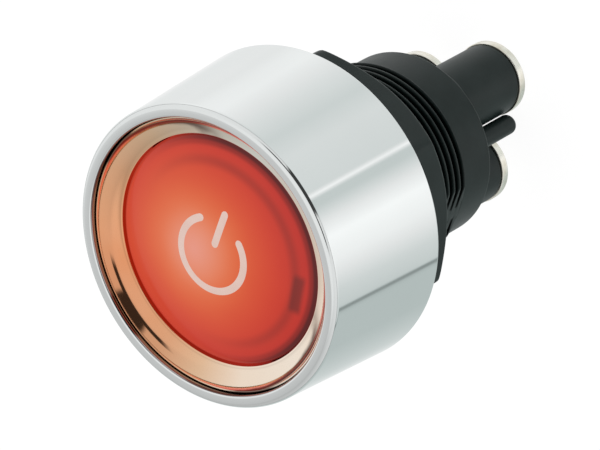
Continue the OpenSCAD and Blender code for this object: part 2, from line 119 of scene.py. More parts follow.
def roundedLoop(corners, steps=6):
    # a closed outline in which each corner (r, z, radius) becomes an arc
    corners = np.asarray(corners, float)
    out = []
    for k, (r, z, radius) in enumerate(corners):
        here = np.array([r, z])
        back = corners[k - 1, :2] - here
        ahead = corners[(k + 1) % len(corners), :2] - here
        back, ahead = back / np.linalg.norm(back), ahead / np.linalg.norm(ahead)
        half = np.arccos(np.clip(back @ ahead, -1, 1)) / 2
        if radius <= 0:
            out.append(here[None])
            continue
        reach = radius / np.tan(half)
        bisector = (back + ahead) / np.linalg.norm(back + ahead)
        centre = here + bisector * radius / np.sin(half)
        first, last = here + back * reach - centre, here + ahead * reach - centre
        turn = np.arctan2(first[0] * last[1] - first[1] * last[0], first @ last)
        angle = np.linspace(0, turn, steps + 1)[:, None]
        side = np.array([-first[1], first[0]])
        out.append(centre + np.cos(angle) * first + np.sin(angle) * side)
    return np.concatenate(out)


def turnedPoints(outline, centre=(0, 0), columns=around):
    # each outline point (r, z) swept once around an upright axis at the centre
    angle = np.linspace(0, 2 * np.pi, columns, endpoint=False)
    r, z = outline[:, :1], outline[:, 1:]
    x = centre[0] + r * np.cos(angle)
    y = centre[1] + r * np.sin(angle)
    return np.stack([x, y, np.broadcast_to(z, x.shape)], -1).reshape(-1, 3)


def turned(name, corners, body, stands, centres=((0, 0),), steps=6, columns=around):
    # one closed turned solid at each centre
    outline = roundedLoop(corners, steps)
    points, faces = [], []
    for centre in centres:
        faces += gridFaces(len(outline), columns, True, True, len(points) * len(outline) * columns)
        points.append(turnedPoints(outline, centre, columns))
    return putMesh(name, np.concatenate(points), faces, body, stands)


# materials

class Wiring:
    # short calls that add pattern nodes to a node tree
    def __init__(self, tree, coordinates):
        self.tree = tree
        self.place = tree.nodes.new("ShaderNodeTexCoord").outputs[coordinates]

    def link(self, source, target):
        self.tree.links.new(source, target)

    def stretched(self, scale):
        # object coordinates in millimetres times a scale for each axis
        node = self.tree.nodes.new("ShaderNodeMapping")
        node.inputs["Scale"].default_value = [s / mm for s in scale]
        self.link(self.place, node.inputs["Vector"])
        return node.outputs["Vector"]

    def noise(self, scale, detail=3, stretch=(1, 1, 1)):
        node = self.tree.nodes.new("ShaderNodeTexNoise")
        node.inputs["Scale"].default_value = scale
        node.inputs["Detail"].default_value = detail
        self.link(self.stretched(stretch), node.inputs["Vector"])
        return node.outputs["Fac"]

    def ramp(self, source, stops, ease="LINEAR"):
        # stops are (place, colour) or (place, grey)
        node = self.tree.nodes.new("ShaderNodeValToRGB")
        node.color_ramp.interpolation = ease
        while len(node.color_ramp.elements) < len(stops):
            node.color_ramp.elements.new(0.5)
        for element, (place, value) in zip(node.color_ramp.elements, stops):
            element.position = place
            element.color = (value,) * 3 + (1,) if isinstance(value, (int, float)) else (*value, 1)
        self.link(source, node.inputs["Fac"])
        return node.outputs["Color"]

    def math(self, kind, a, b=0.5, c=0.5):
        node = self.tree.nodes.new("ShaderNodeMath")
        node.operation = kind
        for k, value in enumerate((a, b, c)):
            if isinstance(value, (int, float)):
                node.inputs[k].default_value = value
            else:
                self.link(value, node.inputs[k])
        return node.outputs[0]

    def mix(self, factor, a, b, kind="MIX"):
        node = self.tree.nodes.new("ShaderNodeMix")
        node.data_type = "RGBA"
        node.blend_type = kind
        for socket, value in ((node.inputs[0], factor), (node.inputs[6], a), (node.inputs[7], b)):
            if isinstance(value, tuple):
                socket.default_value = (*value, 1)
            elif isinstance(value, (int, float)):
                socket.default_value = value
            else:
                self.link(value, socket)
        return node.outputs[2]

    def range(self, source, low, high):
        # 0 to 1 becomes low to high
        return self.math("MULTIPLY_ADD", source, high - low, low)


class Finish(Wiring):
    # a Principled material whose patterns read object coordinates
    def __init__(self, name, **values):
        self.material = bpy.data.materials.new(name)
        self.material.use_nodes = True
        super().__init__(self.material.node_tree, "Object")
        self.shader = self.tree.nodes["Principled BSDF"]
        for socket, value in values.items():
            self.shader.inputs[socket.replace("_", " ")].default_value = value

    def bump(self, source, depth, strength=1.0):
        node = self.tree.nodes.new("ShaderNodeBump")
        node.inputs["Distance"].default_value = depth * mm
        node.inputs["Strength"].default_value = strength
        self.link(source, node.inputs["Height"])
        self.link(node.outputs["Normal"], self.shader.inputs["Normal"])

    def colour(self, source):
        self.link(source, self.shader.inputs["Base Color"])

    def roughness(self, source):
        self.link(source, self.shader.inputs["Roughness"])

    def planes(self, centre=(0, 0, 0)):
        # x, y and z in millimetres from a centre, and the distance from the upright axis there
        node = self.tree.nodes.new("ShaderNodeMapping")
        node.inputs["Scale"].default_value = [1 / mm] * 3
        node.inputs["Location"].default_value = [-c for c in centre]
        self.link(self.place, node.inputs["Vector"])
        parts = self.tree.nodes.new("ShaderNodeSeparateXYZ")
        self.link(node.outputs["Vector"], parts.inputs[0])
        x, y, z = parts.outputs
        squares = self.math("ADD", self.math("MULTIPLY", x, x), self.math("MULTIPLY", y, y))
        return x, y, z, self.math("SQRT", squares)


def dress(finish, *pieces):
    # gives the material to new pieces, or to CAD nodes by name
    for piece in pieces:
        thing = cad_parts[piece] if isinstance(piece, str) else piece
        thing.data.materials.clear()
        thing.data.materials.append(finish.material)


chrome = {"colour": (0.80, 0.825, 0.82), "rough": 0.035, "haze": 0.05, "wave": 0.004}


def chromeFinish(name, tint=None, haze=chrome["haze"]):
    # plated mirror: roughness drifts in faint clouds, and a slow wave bends reflections a hair
    made = Finish(name, Metallic=1.0)
    clouds = made.noise(0.25, 4)
    made.roughness(made.range(clouds, chrome["rough"], chrome["rough"] + haze))
    colour = tint or chrome["colour"]
    dim = tuple(0.96 * c for c in colour)
    made.colour(made.mix(made.noise(0.12, 2), colour, dim))
    made.bump(made.noise(0.09, 1), chrome["wave"])
    return made


cove = {
    # painted reflection of the lit lens: warmth in the chrome's colour, by azimuth in degrees
    "tint": [(-180, (0.83, 0.42, 0.22)), (-140, (0.78, 0.31, 0.14)), (-100, (0.73, 0.35, 0.18)),
             (-80, (0.78, 0.50, 0.31)), (-58, (0.90, 0.75, 0.61)), (-25, (0.92, 0.81, 0.69)),
             (20, (0.90, 0.74, 0.60)), (55, (0.86, 0.76, 0.64)), (85, (0.87, 0.88, 0.81)),
             (110, (0.78, 0.71, 0.60)), (145, (0.80, 0.55, 0.35)), (180, (0.83, 0.42, 0.22))],
    "rough": (0.05, 0.10),
    # painted dark reflection: a brown band where a slanting plane cuts the cup: its direction, its height on
    # the axis, its fall per millimetre that way, and the band's half width
    "bandTurn": 56,
    "bandHeight": 1.35,
    "bandFall": 0.108,
    "bandHalf": 0.42,
    "darkReflectionColour": (0.115, 0.058, 0.045),
    "darkReflectionShare": 0.86,
    # shape: gap to the lens, height over the lens's edge, thickness left, and the collar's place
    "gap": 0.1,
    "lift": 0.15,
    "skin": 0.12,
    "collarTop": 4.1,
    "collarWidth": 1.0,
}


def paintedDarkReflection(made, unshadedColour, x, y, z):
    # painted dark reflection as a brown band: distance from the slanting plane, up to the band's half width,
    # with a wavering edge, fading out where the plane runs under the lens
    turn = np.radians(cove["bandTurn"])
    along = made.math("ADD", made.math("MULTIPLY", x, float(np.cos(turn))),
                      made.math("MULTIPLY", y, float(np.sin(turn))))
    base = float(lensHigh[2] - lens["crown"] + cove["bandHeight"])
    over = made.math("ADD", made.math("SUBTRACT", z, base), made.math("MULTIPLY", along, cove["bandFall"]))
    waver = made.math("MULTIPLY_ADD", made.noise(0.5, 3), 0.3, -0.15)
    off = made.math("DIVIDE", made.math("ABSOLUTE", made.math("ADD", over, waver)), 2 * cove["bandHalf"])
    band = made.ramp(off, [(0.22, cove["darkReflectionShare"]), (0.55, 0.0)], "EASE")
    fade = made.ramp(made.math("MULTIPLY_ADD", along, 1 / 30, 0.5), [(0.70, 1.0), (0.80, 0.0)], "EASE")
    return made.mix(made.math("MULTIPLY", band, fade), unshadedColour, cove["darkReflectionColour"])


def coveFinish():
    # mirror with a painted reflection of the lit lens in its colour, warmer on one side, and a painted dark
    # reflection as a brown band along a slanting plane
    made = Finish("cove_chrome", Metallic=1.0)
    x, y, z, _ = made.planes()
    turn = made.math("MULTIPLY_ADD", made.math("ARCTAN2", y, x), 0.5 / np.pi, 0.5)
    # painted reflection of the lit lens, by azimuth
    tint = made.ramp(turn, [((angle + 180) / 360, colour) for angle, colour in cove["tint"]])
    unshadedColour = made.mix(made.math("MULTIPLY", made.noise(0.3, 3), 0.15), tint, (0.80, 0.66, 0.52))
    made.colour(paintedDarkReflection(made, unshadedColour, x, y, z))
    made.roughness(made.range(made.noise(0.3, 4), *cove["rough"]))
    made.bump(made.noise(0.15, 1), 0.004)
    return made


moulded = {"colour": (0.0045, 0.0105, 0.0095), "light": (0.0095, 0.0170, 0.0160), "rough": (0.32, 0.46),
           "gloss": 0.20}


def mouldedFinish(name, grain=0.012, shade=1.0):
    # black nylon: fine spark-eroded grain, cloudy gloss and a little colour drift
    made = Finish(name, Specular_IOR_Level=moulded["gloss"])
    fine = made.noise(9, 4)
    broad = made.noise(0.35, 3)
    dark = tuple(shade * c for c in moulded["colour"])
    light = tuple(shade * c for c in moulded["light"])
    made.colour(made.mix(made.ramp(broad, [(0.35, 0.0), (0.7, 1.0)]), dark, light))
    made.roughness(made.range(made.math("ADD", broad, made.math("MULTIPLY", fine, 0.3)), *moulded["rough"]))
    made.bump(fine, grain)
    return made


def rubberFinish(name):
    # matt rubber: dusty clouds over a dense fine grain
    made = Finish(name)
    made.colour(made.mix(made.noise(0.8, 5), (0.012, 0.012, 0.013), (0.03, 0.03, 0.031)))
    made.roughness(made.range(made.noise(2.5, 2), 0.65, 0.9))
    made.bump(made.noise(12, 3), 0.02)
    return made


def platedFinish(name, light, dark, rough=(0.16, 0.36), grain=(1, 1, 1), stain=0.55):
    # plated metal: turning marks stretched along one direction, and dull stains in patches
    made = Finish(name, Metallic=1.0)
    patches = made.ramp(made.noise(0.6, 6), [(stain - 0.1, 0.0), (stain + 0.15, 1.0)])
    made.colour(made.mix(patches, light, dark))
    lines = made.noise(6, 4, grain)
    made.roughness(made.range(made.math("ADD", made.math("MULTIPLY", lines, 0.6),
                                        made.math("MULTIPLY", patches, 0.4)), *rough))
    made.bump(lines, 0.008)
    return made


def mouldedLightFinish(name, light, dark, rough=(0.35, 0.5)):
    # pale or coloured plastic with a faint cloud in its colour and a fine grain
    made = Finish(name, Subsurface_Weight=0.15, Subsurface_Scale=0.6 * mm)
    made.shader.inputs["Subsurface Radius"].default_value = (1, 0.8, 0.7)
    made.colour(made.mix(made.noise(0.5, 4), light, dark))
    made.roughness(made.range(made.noise(3, 2), *rough))
    made.bump(made.noise(10, 2), 0.006)
    return made


# lens

bezelHigh = span("bezel")[1]
lensLow, lensHigh = span("lens")
lensRadius = outerRadius("lens")

lens = {
    "crown": 1.4,  # height of the dome over its edge
    "edge": 0.35,  # rounding of the edge
    "wall": 1.6,
    "glowCentre": (-2.2, -0.7),
    "hookRadius": 10.3,
    "hookSize": (1.2, 4.4),
    "hookTurn": 8,  # degrees by which the hook's shade stands off the hook, seen through the dome
    "hookShade": 0.68,
    "glowReach": 15.0,  # distance over which the glow falls to its deepest red
    "glow": [(0.0, (0.80, 0.33, 0.25)), (0.15, (0.79, 0.28, 0.17)), (0.31, (0.76, 0.165, 0.055)),
             (0.50, (0.68, 0.085, 0.032)), (0.72, (0.60, 0.043, 0.024)), (1.0, (0.42, 0.022, 0.019))],
    "cupRadius": 10.0,
    "cupShade": 0.42,
}


def domeHeight(r):
    # ball cap through the crown and the lens's edge
    ball = (lensRadius ** 2 + lens["crown"] ** 2) / (2 * lens["crown"])
    return lensHigh[2] - ball + np.sqrt(ball ** 2 - r ** 2)


def makeLens():
    # outline: dome from the axis out, a rounded edge, the skirt, and the hollow back to the axis
    edgeZ = lensHigh[2] - lens["crown"]
    skirtR = lensRadius - 1.3
    domeR = np.linspace(0, lensRadius - lens["edge"], 40)
    dome = np.stack([domeR, domeHeight(domeR)], -1)
    turn = np.linspace(np.radians(78), 0, 8)[1:]
    edge = np.stack([lensRadius - lens["edge"] * (1 - np.cos(turn)),
                     edgeZ - lens["edge"] * (1 - np.sin(turn)) + 0.05], -1)
    hollowR = np.linspace(skirtR, 0, 16)
    hollow = np.stack([hollowR, domeHeight(hollowR) - lens["wall"]], -1)
    foot = np.array([[lensRadius, lensLow[2]], [skirtR, lensLow[2]]])
    outline = np.concatenate([dome, edge, foot, hollow])
    points = turnedPoints(outline)
    faces = gridFaces(len(outline), around)
    return putMesh("lens_cap", points, faces, "plunger", ["lens"])


def lensFinish():
    # lamplight through red plastic: colour by distance from the glow's middle, from pale to deep red,
    # darkened by painted shade: a soft ring at the cup's wall, one hook's box-shaped shadow, and a rim on the
    # far side
    made = Finish("lens_lit", Roughness=0.2, Coat_Weight=0.15, Coat_Roughness=0.06,
                  Specular_IOR_Level=0.15, Emission_Strength=0.93)
    cx, cy = lens["glowCentre"]
    _, _, _, fromGlow = made.planes((cx, cy, 0))
    x, y, _, fromAxis = made.planes()
    drift = made.math("MULTIPLY_ADD", made.noise(0.12, 2), 1.4, -0.7)
    reach = made.math("DIVIDE", made.math("ADD", fromGlow, drift), lens["glowReach"])
    glow = made.ramp(reach, lens["glow"], "B_SPLINE")
    # 0 on the side where the glow lies, 1 on the opposite side
    away = made.ramp(made.math("MULTIPLY_ADD", made.math("ADD", made.math("MULTIPLY", x, 0.75),
                               made.math("MULTIPLY", y, 0.66)), 0.04, 0.5), [(0.2, 0.0), (0.75, 1.0)], "EASE")
    # painted shade: soft ring of the cup's wall
    ringPlace = made.math("ABSOLUTE", made.math("SUBTRACT", fromAxis, lens["cupRadius"]))
    ring = made.ramp(ringPlace, [(0.0, 1.0), (0.95, 0.0)], "EASE")
    cupShadeMask = made.math("MULTIPLY", made.math("MULTIPLY", ring, away), lens["cupShade"])
    glow = made.mix(cupShadeMask, glow, (0.17, 0.022, 0.018))
    # painted shade of the hook: a soft box standing across the radius
    turn = np.radians(lens["hookTurn"])
    outward = made.math("ADD", made.math("MULTIPLY", x, float(np.cos(turn))),
                        made.math("MULTIPLY", y, float(np.sin(turn))))
    sideways = made.math("ADD", made.math("MULTIPLY", x, float(-np.sin(turn))),
                         made.math("MULTIPLY", y, float(np.cos(turn))))
    half = [size / 2 for size in lens["hookSize"]]
    offRadius = made.math("ABSOLUTE", made.math("SUBTRACT", outward, lens["hookRadius"]))
    acrossX = made.ramp(offRadius, [(half[0] - 0.3, 1.0), (half[0] + 0.35, 0.0)], "EASE")
    offMiddle = made.math("DIVIDE", made.math("ABSOLUTE", sideways), 4.0)
    acrossY = made.ramp(offMiddle, [((half[1] - 0.6) / 4, 1.0), ((half[1] + 0.4) / 4, 0.0)], "EASE")
    hookShadeMask = made.math("MULTIPLY", made.math("MULTIPLY", acrossX, acrossY), lens["hookShade"])
    glow = made.mix(hookShadeMask, glow, (0.10, 0.020, 0.018))
    # painted shade at the rim: a faint line all round, and a broad dark band on the far side
    share = made.math("DIVIDE", fromAxis, lensRadius)
    line = made.ramp(share, [(0.965, 0.0), (0.99, 1.0)], "EASE")
    band = made.ramp(share, [(0.90, 0.0), (0.945, 0.55), (0.975, 0.95)], "EASE")
    rim = made.math("MAXIMUM", made.math("MULTIPLY", line, 0.35), made.math("MULTIPLY", band, away))
    glow = made.mix(rim, glow, (0.075, 0.010, 0.010))
    made.link(glow, made.shader.inputs["Emission Color"])
    # the rim's painted shade darkens the base colour too
    made.colour(made.mix(rim, (0.05, 0.005, 0.004), (0.012, 0.002, 0.002)))
    made.bump(made.noise(0.4, 2), 0.004)
    return made


symbol = {"radius": 4.5, "stroke": 0.95, "gap": 34, "barFoot": 0.22, "rise": 0.012, "depth": 0.3}


def strokeBand(path, width, flow):
    # a band that follows the dome: across it the height is flat with rounded shoulders, and both
    # ends are half circles; path and flow are its middle line and directions on the lens
    across = np.linspace(-1, 1, 13)
    side = np.stack([-flow[:, 1], flow[:, 0]], -1)
    xy = path[:, None] + side[:, None] * across[None, :, None] * width[:, None, None] / 2
    r = np.linalg.norm(xy, axis=-1)
    shoulder = 1 - np.abs(across[None]) ** 8
    top = domeHeight(r) + symbol["rise"] * shoulder - 0.02 * (1 - shoulder)
    bottom = domeHeight(r) - symbol["depth"]
    upper = np.concatenate([xy, top[..., None]], -1)
    lower = np.concatenate([xy, bottom[..., None]], -1)[:, ::-1]
    return np.concatenate([upper, lower], 1)


def endCaps(length, width):
    # places along a stroke and its width there, with half circles at both ends
    turn = np.linspace(0, np.pi / 2, 9)
    first = width / 2 * (1 - np.cos(turn))
    middleRun = np.linspace(width / 2, length - width / 2, 60)[1:-1]
    place = np.concatenate([first, middleRun, length - first[::-1]])
    wide = np.concatenate([width * np.sin(turn), np.full(58, width), width * np.sin(turn[::-1])])
    return place, np.maximum(wide, 1e-3)


def makeSymbol():
    # open ring: an arc about the lens's middle; bar: a straight run up through the ring's gap
    middleR = symbol["radius"] - symbol["stroke"] / 2
    start = np.radians(90 + symbol["gap"])
    sweep = np.radians(360 - 2 * symbol["gap"])
    place, wide = endCaps(middleR * sweep, symbol["stroke"])
    angle = start + place / middleR
    ringPath = middleR * np.stack([np.cos(angle), np.sin(angle)], -1)
    ringFlow = np.stack([-np.sin(angle), np.cos(angle)], -1)
    ring = strokeBand(ringPath, wide, ringFlow)
    barFoot = symbol["radius"] * symbol["barFoot"]
    place, barWide = endCaps(symbol["radius"], symbol["stroke"])
    barPath = np.stack([np.zeros_like(place), barFoot + place], -1)
    barFlow = np.tile([0.0, 1.0], (len(place), 1))
    bar = strokeBand(barPath, barWide, barFlow)
    columns = ring.shape[1]
    faces, first = [], 0
    for band in (ring, bar):
        rows = len(band)
        faces += gridFaces(rows, columns, False, True, first)
        for row in (0, rows - 1):
            faces.append((first + row * columns + np.arange(columns)).tolist())
        first += rows * columns
    points = np.concatenate([ring.reshape(-1, 3), bar.reshape(-1, 3)])
    return putMesh("start_symbol", points, faces, "plunger", ["symbol"])


def symbolFinish():
    # pale ink lit from behind, a little uneven
    made = Finish("symbol_ink", Roughness=0.35, Emission_Strength=0.62, Coat_Weight=0.1)
    cloud = made.noise(0.6, 3)
    made.colour(made.mix(cloud, (0.26, 0.20, 0.18), (0.22, 0.16, 0.14)))
    made.link(made.mix(cloud, (0.92, 0.68, 0.60), (0.80, 0.55, 0.47)),
              made.shader.inputs["Emission Color"])
    made.bump(made.noise(5, 2), 0.004)
    return made


capPiece = makeLens()
dress(lensFinish(), capPiece)
symbolPiece = makeSymbol()
dress(symbolFinish(), symbolPiece)
print("lens and symbol made")


# bezel and cove

bezel = {
    "taper": 1.05,
    "rimWidth": 1.45,
    "rimRound": 0.62,
    "innerRound": 0.3,
    "ledge": 4.1,  # height of the ledge over the cove's foot
    "well": 0.5,  # how far the well is narrower than the mouth
    "floor": 2.2,
    "land": (1.6, 0.8),  # width of the rear land and the step in front of it
    "bore": 11.03,
}


def makeBezel():
    # outline: rear land, the tapered side, the rounded rim, the mouth's wall and the well
    rear, top = bezelHigh[0], bezelHigh[2]
    front = rear - bezel["taper"]
    mouth = front - bezel["rimWidth"]
    well = mouth - bezel["well"]
    ledge = span("trim_ring")[0][2] + bezel["ledge"]
    landWidth, step = bezel["land"]
    land = rear - landWidth
    bore = bezel["bore"]
    corners = [(rear, 0, 0.22), (front, top, bezel["rimRound"]), (mouth, top, bezel["innerRound"]),
               (mouth, ledge, 0.05), (well, ledge, 0.05), (well, bezel["floor"], 0.2),
               (bore, bezel["floor"], 0.1), (bore, step, 0.1), (land, step, 0.1), (land, 0, 0.08)]
    return turned("bezel_cup", corners, "housing", ["bezel"], steps=8, columns=320)


def makeCove():
    # outline: a concave quarter round from the mouth down to the lens, on a straight collar
    low, high = span("trim_ring")
    outer = outerRadius("trim_ring")
    inner = lensRadius + cove["gap"]
    coveR = outer + 0.03 - inner
    centreZ = lensHigh[2] - lens["crown"] + cove["lift"] + coveR
    turn = np.radians(np.linspace(-86, -20, 40))
    sweepR = coveR - cove["skin"]
    curve = np.stack([inner + sweepR * np.cos(turn), centreZ + sweepR * np.sin(turn)], -1)
    collarR = outer - cove["collarWidth"]
    collarZ = low[2] + cove["collarTop"]
    back = np.array([[outer, high[2] - 0.04], [outer, collarZ + 0.05], [collarR, collarZ],
                     [collarR, low[2]], [inner, low[2]]])
    edge = np.array([[inner, curve[0, 1] - 0.12], [inner + 0.03, curve[0, 1] - 0.03]])
    outline = np.concatenate([edge, curve, back])
    points = turnedPoints(outline, columns=320)
    faces = gridFaces(len(outline), 320, True)
    return putMesh("cove_ring", points, faces, "housing", ["trim_ring"])


def bezelFinish():
    # chrome mirror, with painted dark reflection: the mouth's wall browner on the side away from the slanting
    # plane's low end
    made = chromeFinish("bezel_chrome")
    x, y, z, r = made.planes()
    mouth = bezelHigh[0] - bezel["taper"] - bezel["rimWidth"]
    inside = made.math("LESS_THAN", r, float(mouth + 0.12))
    unshadedColour = made.shader.inputs["Base Color"].links[0].from_socket
    # painted dark reflection on the mouth's wall: part way to brown everywhere, and the brown band on top
    wall = paintedDarkReflection(made, made.mix(0.6, unshadedColour, cove["darkReflectionColour"]), x, y, z)
    made.colour(made.mix(inside, unshadedColour, wall))
    return made


bezelPiece, covePiece = makeBezel(), makeCove()
dress(bezelFinish(), bezelPiece)
dress(coveFinish(), covePiece)
print("bezel and cove made")


# barrel with its thread

barrel = {
    "crest": 11.0,
    "pitch": 1.0,
    "depth": 0.6,
    "neck": -1.5,  # where the thread starts behind the panel
    "flat": 10.4,  # distance of each flat from the axis
    "bore": 8.8,
    "rowsPerTurn": 20,
    "grooveShare": 0.72,  # higher makes the grooves wider and the crests narrower
    "grooveShade": 0.12,  # specular level left in the depth of a groove
    "columns": 300,
}


def makeBarrel():
    # each row follows the helix: z climbs one pitch a turn, and the radius depends on the row's
    # phase alone, so crests and roots are whole lines; the radius is then cut to the flats
    low, high = span("housing")
    crest, rearZ = barrel["crest"], low[2]
    flange = outerRadius("housing")
    turn = np.linspace(0, 2 * np.pi, barrel["columns"] + 1)
    rise = barrel["pitch"] / barrel["rowsPerTurn"]
    count = int((barrel["neck"] - rearZ) / rise) + barrel["rowsPerTurn"] + 2
    rowZ = barrel["neck"] - rise * np.arange(count)[:, None]
    z = np.clip(rowZ + barrel["pitch"] * turn / (2 * np.pi), rearZ, barrel["neck"])
    phase = rowZ / barrel["pitch"]
    groove = np.clip(barrel["grooveShare"] - 1.05 * np.cos(2 * np.pi * phase), 0, 1)
    runIn = np.clip((barrel["neck"] - z) / 0.8, 0, 1)
    r = crest - barrel["depth"] * groove * runIn
    r = np.minimum(r, crest - barrel["depth"] + (z - rearZ))
    flatR = barrel["flat"] / np.maximum(np.abs(np.cos(turn)), 1e-6)
    thread = np.stack([np.minimum(r, flatR), z], -1)
    bore = barrel["bore"]
    top = np.array([[crest, 0.0], [crest, 2.2]])[::-1]
    outer = np.array([[bore, high[2]], [flange - 0.15, high[2]], [flange, high[2] - 0.15],
                      [flange, 2.35], [flange - 0.15, 2.2]])
    fixed = np.concatenate([outer, top])[:, None, :] * np.ones((1, len(turn), 1))
    fixed[len(outer):, :, 0] = np.minimum(fixed[len(outer):, :, 0], flatR)
    end = np.array([[bore + 0.15, rearZ], [bore, rearZ + 0.15]])[:, None, :] * np.ones((1, len(turn), 1))
    sheet = np.concatenate([fixed, thread, end])
    x, y = sheet[..., 0] * np.cos(turn), sheet[..., 0] * np.sin(turn)
    points = np.stack([x, y, sheet[..., 1]], -1).reshape(-1, 3)
    faces = gridFaces(len(sheet), len(turn), True, False)
    return putMesh("threaded_barrel", points, faces, "housing", ["housing"])


def barrelFinish():
    # black nylon with painted shade: darker and duller by depth below the crests, for the shadow in the cut
    # grooves
    made = mouldedFinish("thread_nylon")
    x, _, z, r = made.planes()
    depth = made.math("DIVIDE", made.math("SUBTRACT", barrel["crest"], r), barrel["depth"])
    groove = made.ramp(depth, [(0.15, 0.0), (0.55, 1.0)])
    onThread = made.math("LESS_THAN", z, barrel["neck"])
    offFlat = made.math("LESS_THAN", made.math("ABSOLUTE", x), barrel["flat"] - 0.03)
    grooveShadeMask = made.math("MULTIPLY", made.math("MULTIPLY", groove, onThread), offFlat)
    unshadedColour = made.shader.inputs["Base Color"].links[0].from_socket
    # painted shade in the grooves: darker colour and less specular
    made.colour(made.mix(grooveShadeMask, unshadedColour, (0.0004, 0.0014, 0.0011)))
    made.link(made.range(grooveShadeMask, moulded["gloss"], moulded["gloss"] * barrel["grooveShade"]),
              made.shader.inputs["Specular IOR Level"])
    return made


blackFinish = mouldedFinish("black_nylon")
barrelPiece = makeBarrel()
dress(barrelFinish(), barrelPiece)
print("barrel made")


# nut and gasket

nut = {"corner": 15.588, "turn": 53, "rearRadius": 12.99, "front": 0.8, "bore": 11.1, "boreLead": 0.6}


def smoothLeast(a, b, blend):
    # the smaller of two values with the crease between them rounded off
    h = np.clip(0.5 + 0.5 * (b - a) / blend, 0, 1)
    return b * (1 - h) + a * h - blend * h * (1 - h)


def makeNut():
    # side: the least of six flats, a rear cone and a front cone, as a radius over angle and height
    low, high = span("panel_nut")
    turn = np.linspace(0, 2 * np.pi, 360, endpoint=False)
    flatR = nut["corner"] * np.cos(np.pi / 6)
    wedge = (turn - np.radians(nut["turn"])) % (np.pi / 3) - np.pi / 6
    hexR = smoothLeast(flatR / np.cos(wedge), np.full_like(wedge, nut["corner"] - 0.12), 0.35)
    depth = high[2] - low[2]
    z = low[2] + depth * np.concatenate([np.linspace(0, 0.5, 56), np.linspace(0.5, 1, 36)[1:]])
    rear = (nut["rearRadius"] + (z - low[2]))[:, None]
    front = (nut["corner"] - nut["front"] + 2 * (high[2] - z))[:, None]
    r = smoothLeast(smoothLeast(hexR[None], rear, 0.18), front, 0.15)
    endRound = np.minimum(z - low[2], high[2] - z)[:, None]
    r = r - 0.12 * np.exp(-endRound / 0.05)
    bore, lead = nut["bore"], nut["boreLead"]
    side = np.stack([r, np.broadcast_to(z[:, None], r.shape)], -1)
    inner = np.array([[bore + 0.12, high[2]], [bore, high[2] - 0.12], [bore, low[2] + lead],
                      [bore + lead, low[2]]])[:, None, :] * np.ones((1, len(turn), 1))
    sheet = np.concatenate([side, inner])
    x, y = sheet[..., 0] * np.cos(turn), sheet[..., 0] * np.sin(turn)
    points = np.stack([x, y, sheet[..., 1]], -1).reshape(-1, 3)
    return putMesh("hex_nut", points, gridFaces(len(sheet), len(turn), True), "nut",
                   ["panel_nut"])


def ringOf(node, name, inner, body, rounding=0.2):
    # a plain ring in a node's place, with rounded edges
    low, high = span(node)
    outer = outerRadius(node)
    corners = [(outer, low[2], rounding), (outer, high[2], rounding),
               (inner, high[2], rounding), (inner, low[2], rounding)]
    return turned(name, corners, body, [node])


rubber = rubberFinish("black_rubber")
nutPiece = makeNut()
dress(mouldedFinish("nut_nylon", 0.015, 1.05), nutPiece)
gasketPiece = ringOf("gasket", "gasket_ring", 11.2, "housing", 0.25)
bumperPiece = ringOf("bumper", "stop_ring", 9.6, "housing", 0.2)
dress(rubber, gasketPiece, bumperPiece, "base_seal")
dress(platedFinish("zinc", (0.62, 0.62, 0.60), (0.45, 0.44, 0.41)), "lock_washer")
print("nut and rings made")


# rear body, posts and terminals

rearBody = {
    "radius": 10.4,
    "drumLength": 5.1,
    "spigot": (8.77, 2.4),  # radius and length of what sits inside the barrel
    "postRadius": 4.0,
    "edge": 0.35,
    "flare": 0.3,
    "root": 0.8,  # how far the posts and the peg run into the drum
    "pegRadius": 1.1,
    "pegLength": 8.9,
    "pegNose": 0.7,
    "pegTurn": 27.5,
    "pegFromAxis": 6.77,
}
terminals = ["feed_terminal", "lamp_terminal", "switched_terminal"]
postPlaces = [tuple(middle(node)[:2]) for node in terminals]


def makeRearBody():
    # a turned drum, three turned posts that flare where they leave it, and a round-nosed peg
    postZ = span("terminal_base")[0][2]
    barrelZ = span("housing")[0][2]
    drumZ = barrelZ - rearBody["drumLength"]
    rootZ = drumZ + rearBody["root"]
    spigotR, spigotLength = rearBody["spigot"]
    spigotZ = barrelZ + spigotLength
    drum = roundedLoop([(0.001, spigotZ, 0), (0.001, drumZ, 0), (rearBody["radius"], drumZ, rearBody["edge"]),
                        (rearBody["radius"], barrelZ, 0.08), (spigotR, barrelZ, 0.02),
                        (spigotR, spigotZ, 0.1)], 8)

    def standing(radius, tip, nose, flare):
        # a rod out of the drum's rear face, flared at its foot
        return roundedLoop([(0.001, rootZ, 0), (0.001, tip, 0), (radius, tip, nose), (radius, drumZ, flare),
                            (radius + flare, drumZ, 0), (radius + flare, rootZ, 0)], 8)

    post = standing(rearBody["postRadius"], postZ, 0.3, rearBody["flare"])
    peg = standing(rearBody["pegRadius"], drumZ - rearBody["pegLength"], rearBody["pegNose"], 0.28)
    pegTurn = np.radians(rearBody["pegTurn"])
    pegAt = rearBody["pegFromAxis"] * np.array([np.cos(pegTurn), np.sin(pegTurn)])
    points, faces, total = [], [], 0
    for outline, centre, columns in [(drum, (0, 0), around), *[(post, place, 120) for place in postPlaces],
                                     (peg, tuple(pegAt), 64)]:
        faces += gridFaces(len(outline), columns, True, True, total)
        points.append(turnedPoints(outline, centre, columns))
        total += len(points[-1])
    return putMesh("rear_body", np.concatenate(points), faces, "housing", ["terminal_base"])


rearPiece = makeRearBody()
dress(blackFinish, rearPiece)

